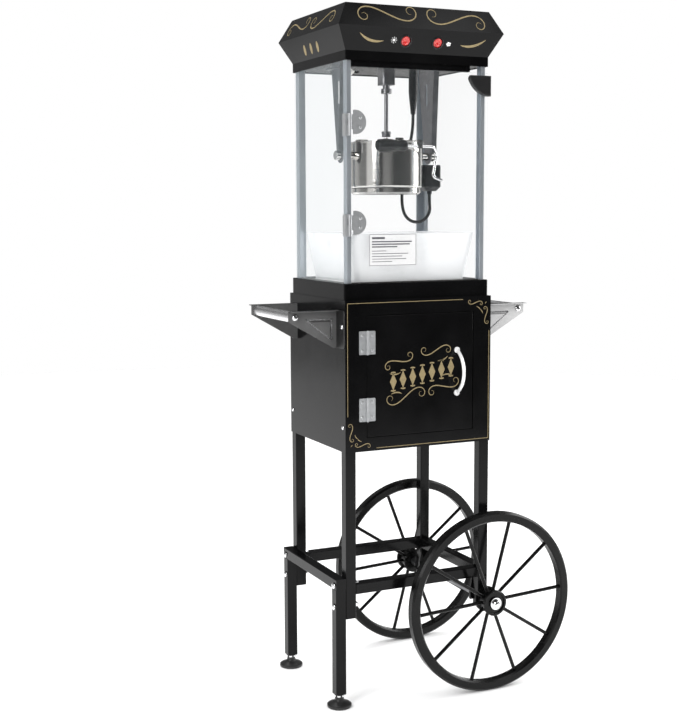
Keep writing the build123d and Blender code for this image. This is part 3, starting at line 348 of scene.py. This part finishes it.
def scroll(eye_a, eye_b, turns_a=-1.25, turns_b=1.1, power=1.7, steps=90):
    """Scroll between two eyes. The turns are in revolutions, and their signs give the way each end curls."""
    points, heading, x, y = [], 0.0, 0.0, 0.0
    for step in range(2 * steps + 1):
        s = step / steps - 1
        turns = turns_a if s < 0 else turns_b
        heading += 2 * math.pi * turns * (power + 1) * abs(s) ** power / steps
        x += math.cos(heading) / steps
        y += math.sin(heading) / steps
        points.append(complex(x, y))
    first, last = complex(*eye_a), complex(*eye_b)
    change = (last - first) / (points[-1] - points[0])
    moved = [(p - points[0]) * change + first for p in points]
    return [(p.real, p.imag) for p in moved]


def arc_line(centre, radius, start, end, steps=40):
    """Points along an arc between two angles in degrees."""
    angles = [math.radians(start + (end - start) * k / steps) for k in range(steps + 1)]
    return [(centre[0] + radius * math.cos(a), centre[1] + radius * math.sin(a)) for a in angles]


# shares of a stroke's width, from its start at t = 0 to its end at t = 1
def even(t):
    return 1.0


def pointed(t):
    return max(0.12, math.sin(math.pi * t) ** 0.6)


def lozenge_sides(t):
    return max(0.08, 1 - abs(2 * t - 1))


def oval_sides(t):
    return max(0.05, math.sqrt(max(0.0, 1 - (2 * t - 1) ** 2)))


def oval(centre, width, height, steps=28):
    """Filled oval as one upright stroke."""
    bottom = centre[1] - height / 2
    return [(centre[0], bottom + height * k / steps) for k in range(steps + 1)], width, oval_sides


def disc(centre, radius):
    return oval(centre, 2 * radius, 2 * radius, 16)


def printed(name, face, strokes, body, material, lift=PROUD):
    """One piece of flat raised strokes, each (points, width in mm, how the width goes along it)."""
    shape = bmesh.new()
    for points, width, profile in strokes:
        rings = []
        for k, (u, v) in enumerate(points):
            before, after = points[max(k - 1, 0)], points[min(k + 1, len(points) - 1)]
            along = Vector((after[0] - before[0], after[1] - before[1])).normalized()
            half = width / 2 * profile(k / (len(points) - 1))
            left = (u - along.y * half, v + along.x * half)
            right = (u + along.y * half, v - along.x * half)
            corners = ((left, -SUNK), (left, lift), (right, lift), (right, -SUNK))
            rings.append([shape.verts.new(face.at(*spot, height)) for spot, height in corners])
        skin(shape, rings)
    bmesh.ops.recalc_face_normals(shape, faces=shape.faces)
    piece = finished(shape, name, material)
    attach(piece, body)


# front of the cabinet: thin frame line with a scroll in two of its corners
front = Face((MID_X, FACE_Y, 0), (1, 0, 0), (0, 0, 1))
LEFT, RIGHT, TOP, BOTTOM = -158.5, 159.5, 807.0, 520.5
frame_lines = [
    ([(LEFT, 586), (LEFT, TOP)], 1.1, even),
    ([(LEFT, TOP), (98, TOP)], 1.1, even),
    ([(RIGHT, 742), (RIGHT, BOTTOM)], 1.1, even),
    ([(RIGHT, BOTTOM), (-96, BOTTOM)], 1.1, even),
]


def corner_scrolls(x, z, sx, sz):
    """Two scrolls, two leaves and a bud in a corner; the signs point from the corner into the face."""
    lines = [
        scroll((20, 11), (48, 8), 1.25, -1.1), scroll((11, 20), (8, 50), -1.25, 1.1),
        arc_line((34, 30), 13, 200, 262, 12), arc_line((30, 34), 13, 250, 188, 12),
        [(8, 8), (10, 10), (12, 12)],
    ]
    return [([(x + sx * u, z + sz * v) for u, v in line], 1.5, pointed) for line in lines]


frame_lines += corner_scrolls(RIGHT + 2, TOP + 2, -1, -1)
frame_lines += corner_scrolls(LEFT - 2, BOTTOM - 2, 1, 1)
printed("cabinet_frame_lines", front, frame_lines, "root", gold)

# door: a rising row of lozenges between two flourishes
flourishes = [
    (scroll((-73, 680), (-21, 699)), 2.1),
    (scroll((66, 709), (9, 706), 1.25, -1.1), 2.1),
    (arc_line((-56, 690), 26, 245, 300, 16), 2.6),
    (arc_line((44, 712), 26, 262, 318, 16), 2.6),
    (scroll((-64, 612), (4, 627), 1.1, -1.1), 2.1),
    (scroll((82, 641), (26, 626), -1.1, 1.1), 2.1),
    (arc_line((-52, 602), 26, 62, 118, 16), 2.6),
    (arc_line((62, 632), 26, 62, 118, 16), 2.6),
]
LOZENGES, LOZENGE_W, LOZENGE_H = 7, 15.0, 34.0
ROW_X, ROW_Z, ROW_HALF, ROW_RISE = 6, 661, 76, 0.17


def lozenge(u, v):
    """Lozenge with a small curved bar above it and below it."""
    spine = [(u, v - LOZENGE_H / 2 + LOZENGE_H * j / 8) for j in range(9)]
    strokes = [(spine, LOZENGE_W, lozenge_sides)]
    for end in (-1, 1):
        tip, crown = v + end * LOZENGE_H * 0.52, v + end * LOZENGE_H * 0.55
        strokes.append(([(u - 5, tip), (u, crown), (u + 5, tip)], 2.6, even))
    return strokes


ornament = [(line, width, pointed) for line, width in flourishes]
for k in range(LOZENGES):
    u = ROW_X + ROW_HALF * ((k + 0.5) / LOZENGES * 2 - 1)
    ornament += lozenge(u, ROW_Z + (u - ROW_X) * ROW_RISE)
printed("door_ornament", front, ornament, "cabinet_door", gold)

# canopy: scrolls on the upper slopes, leaves and ovals on the lower ones
TOP_Z = canopy_high.z
WIDE_Z = TOP_Z - 0.044                        # widest line
FOOT_TOP = TOP_Z - 0.088                      # foot of the lower slopes
canopy_x = (canopy_low.x + canopy_high.x) / 2
HALF_W = (canopy_high.x - canopy_low.x) / 2   # half widths and half depths at the three levels
TOP_W, FOOT_HALF_W = 0.157, 0.157
TOP_D, HALF_D, FOOT_HALF_D = 0.130, 0.1495, 0.1285


def slope_face(foot, crest, across):
    """Face on a slope between two levels; v runs up the slope from its lower edge."""
    return Face(foot, across, Vector(crest) - Vector(foot))


upper_front = slope_face((canopy_x, -HALF_D, WIDE_Z), (canopy_x, -TOP_D, TOP_Z), (1, 0, 0))
lower_front = slope_face((canopy_x, -FOOT_HALF_D, FOOT_TOP), (canopy_x, -HALF_D, WIDE_Z), (1, 0, 0))
upper_left = slope_face((canopy_x - HALF_W, 0, WIDE_Z), (canopy_x - TOP_W, 0, TOP_Z), (0, -1, 0))
lower_left = slope_face((canopy_x - FOOT_HALF_W, 0, FOOT_TOP), (canopy_x - HALF_W, 0, WIDE_Z), (0, -1, 0))


def slope_level(z):
    """Distance up the upper slope, in millimetres, of a height above the widest line."""
    return z * math.hypot(HALF_D - TOP_D, TOP_Z - WIDE_Z) / (TOP_Z - WIDE_Z)


front_band = [(scroll((-128, slope_level(23)), (-21, slope_level(28))), 2.9, pointed),
              (scroll((132, slope_level(18)), (24, slope_level(26)), 1.25, -1.1), 2.9, pointed)]
left_band = [(scroll((-112, slope_level(20)), (-27, slope_level(26))), 2.8, pointed),
             (scroll((100, slope_level(22)), (8, slope_level(20)), 1.25, -1.1), 2.8, pointed)]
printed("canopy_front_scrolls", upper_front, front_band, "root", gold)
printed("canopy_left_scrolls", upper_left, left_band, "root", gold)


def leaf(centre, reach, rise, tilt):
    """Curved leaf, tilted by an angle in degrees."""
    turn = math.radians(tilt)
    points = []
    for k in range(31):
        t = k / 30 * 2 - 1
        u, v = t * reach, rise * (1 - t * t)
        points.append((centre[0] + u * math.cos(turn) - v * math.sin(turn),
                       centre[1] + u * math.sin(turn) + v * math.cos(turn)))
    return points, 5.0, pointed


printed("canopy_leaves", lower_front, [leaf((-107, 28), 27, -7, -14), leaf((115, 28), 28, -7, 14)],
        "root", gold)
OVAL_V = 20
ovals = [oval((y, OVAL_V), 9.0, 21) for y in (-42, -11, 20)]
leaning = [([(u + 0.6 * (v - OVAL_V), v) for u, v in line], width, profile)
           for line, width, profile in ovals]
printed("canopy_ovals", lower_left, leaning, "root", gold)

# generic signs beside the switches: a lit lamp and a puffed kernel
LAMP_U, LAMP_V = -59, 24
KERNEL_U, KERNEL_V = 61, 22
lamp_sign = [disc((LAMP_U, LAMP_V), 2.6)]
for k in range(8):
    a = math.pi * k / 4
    ray = [(LAMP_U + r * math.cos(a), LAMP_V + r * math.sin(a)) for r in (4.2, 5.2, 6.4)]
    lamp_sign.append((ray, 1.0, even))
kernel_sign = [disc((KERNEL_U + 2.9 * math.cos(a), KERNEL_V + 2.4 * math.sin(a)), 2.1)
               for a in (0.5, 1.8, 3.1, 4.3, 5.6)]
printed("switch_signs", lower_front, lamp_sign + kernel_sign, "root", pale_ink)

# painted highlights along the edges of the raised triangles on the four bracket webs
WEB_FACE = 0.1000                             # outer faces of the webs, from the middle of the cart
corners = [(-229, 775.5), (-175.5, 775.5), (-175.5, 734)]
for name, side in (("bracket_edge_highlights_front", -1), ("bracket_edge_highlights_rear", 1)):
    web_face = Face((MID_X, side * WEB_FACE, 0), (-side, 0, 0), (0, 0, 1))
    edge_highlights = [([(flip * u, v) for u, v in line], 2.6, even)
             for line in zip(corners, corners[1:] + corners[:1]) for flip in (1, -1)]
    # silver lines stand for light caught on the raised rims: painted highlights
    printed(name, web_face, edge_highlights, "root", silver_bar, 0.0006)

# --- hexagon lock nut on each foot's stud, up against its post ------------------------------------
NUT_Z = 0.0205
NUT_OUTLINE = [(0.0100, 0.0), (0.0113, 0.001), (0.0113, 0.004), (0.0100, 0.005)]      # (radius, height)


def lock_nut(foot):
    low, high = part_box(foot)
    x, y = (low.x + high.x) / 2, (low.y + high.y) / 2
    shape = bmesh.new()
    angles = [math.radians(60 * k) for k in range(6)]
    rings = [[shape.verts.new((x + r * math.cos(a), y + r * math.sin(a), NUT_Z + z)) for a in angles]
             for r, z in NUT_OUTLINE]
    skin(shape, rings)
    nut = finished(shape, foot + "_lock_nut", chrome)
    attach(nut, "root")


lock_nut("front_foot")
lock_nut("rear_foot")


# --- label on the glass front -------------------------------------------------------------------
def text_bars(left, top, pitch, width, thick, shares):
    """Bars in place of lines of text, each a share of the full width."""
    return [([(left, top - pitch * k), (left + share * width, top - pitch * k)], thick, even)
            for k, share in enumerate(shares)]


def label():
    sheet = Face((MID_X, GLASS_Y, 0), (1, 0, 0), (0, 0, 1))
    left, right, low, high = -108.0, -4.5, 878.0, 940.0
    middle = (low + high) / 2
    printed("label_card", sheet, [([(left, middle), (right, middle)], high - low, even)],
            "case_door", paper, 0.00025)
    lines = [([(left + 1, z), (right - 1, z)], 0.8, even) for z in (low + 1, high - 1)]
    lines += [([(x, low + 1), (x, high - 1)], 0.8, even) for x in (left + 1, right - 1)]
    lines += [([(left + 6, high - 8), (left + 34, high - 8)], 4.0, even)]
    lines += text_bars(left + 6, high - 15, 5.0, 92, 2.4, (0.95, 0.9, 0.6))
    lines += text_bars(left + 6, high - 33, 5.2, 88, 1.2, (0.35, 0.9, 0.75, 0.85, 0.5))
    printed("label_lines", sheet, lines, "case_door", dark_ink, 0.0004)


label()


# --- floor and light ----------------------------------------------------------------------------
def make_floor():
    shape = bmesh.new()
    bmesh.ops.create_circle(shape, cap_ends=True, segments=96, radius=4.2)
    pale = finish("floor", (0.97, 0.97, 0.97), 0.9, tone=0.01, grain=0.6, bump=0.02)
    floor = finished(shape, "floor", pale)
    floor.location = (0, 1.2, -0.0005)


# studio seen in reflections, from the front round by the left, back and right: (degrees, brightness)
STUDIO = [
    (-180, 0.05), (-160, 0.3), (-146, 0.3), (-140, 0.04), (-118, 0.05), (-112, 0.9), (-92, 0.95),
    (-86, 0.25), (-62, 0.3), (-50, 0.58), (-12, 0.58), (2, 0.9), (8, 0.9), (14, 0.15), (34, 0.2), (42, 0.9),
    (66, 0.9), (74, 0.12), (92, 0.12), (98, 0.8), (116, 0.75), (126, 0.1), (180, 0.05),
]


def make_world():
    """Pale backdrop and even light, with a banded studio seen only in glossy surfaces."""
    world = bpy.data.worlds.new("studio")
    scene.world = world
    world.use_nodes = True
    tree = world.node_tree
    link = tree.links.new
    place = add_node(tree, "TexCoord")
    part = add_node(tree, "SeparateXYZ")
    link(place.outputs["Generated"], part.inputs["Vector"])
    angle = add_node(tree, "Math")
    angle.operation = "ARCTAN2"
    link(part.outputs["X"], angle.inputs[0])
    link(part.outputs["Y"], angle.inputs[1])
    span = add_node(tree, "MapRange", From_Min=-math.pi, From_Max=math.pi)
    link(angle.outputs["Value"], span.inputs["Value"])
    bands = add_ramp(tree, [((degrees + 180) / 360, bright, bright, bright) for degrees, bright in STUDIO])
    link(span.outputs["Result"], bands.inputs["Fac"])
    height = add_node(tree, "MapRange", From_Min=0.0, From_Max=0.25, To_Min=1.0, To_Max=0.3)
    link(part.outputs["Z"], height.inputs["Value"])
    dimmed = add_node(tree, "VectorMath")
    dimmed.operation = "SCALE"
    link(bands.outputs["Color"], dimmed.inputs[0])
    link(height.outputs["Result"], dimmed.inputs["Scale"])
    seen = add_node(tree, "LightPath")
    colour = add_mix(tree, seen.outputs["Is Glossy Ray"], (1, 1, 1, 1), dimmed.outputs["Vector"])
    link(colour, tree.nodes["Background"].inputs["Color"])


def soft_box(name, place, target, size, power):
    """Area light of a size and a power in watts, turned to face its target."""
    lamp = bpy.data.lights.new(name, "AREA")
    lamp.shape = "RECTANGLE"
    lamp.size, lamp.size_y = size
    lamp.energy = power
    box = added(name, lamp)
    box.location = place
    box.rotation_euler = (Vector(target) - Vector(place)).to_track_quat("-Z", "Y").to_euler()


make_floor()
make_world()
soft_box("key", (-2.8, -1.6, 2.2), (0, 0, 0.8), (1.2, 2.0), 60)
soft_box("fill", (2.8, -0.4, 1.5), (0, 0, 0.7), (1.0, 2.2), 50)
soft_box("top", (0.2, 1.2, 3.6), (0, 0.2, 0.5), (2.4, 1.6), 50)
soft_box("front_top", (1.25, -2.2, 3.1), (0, -0.14, 1.35), (1.5, 1.5), 15)
scene.view_settings.view_transform = "Standard"
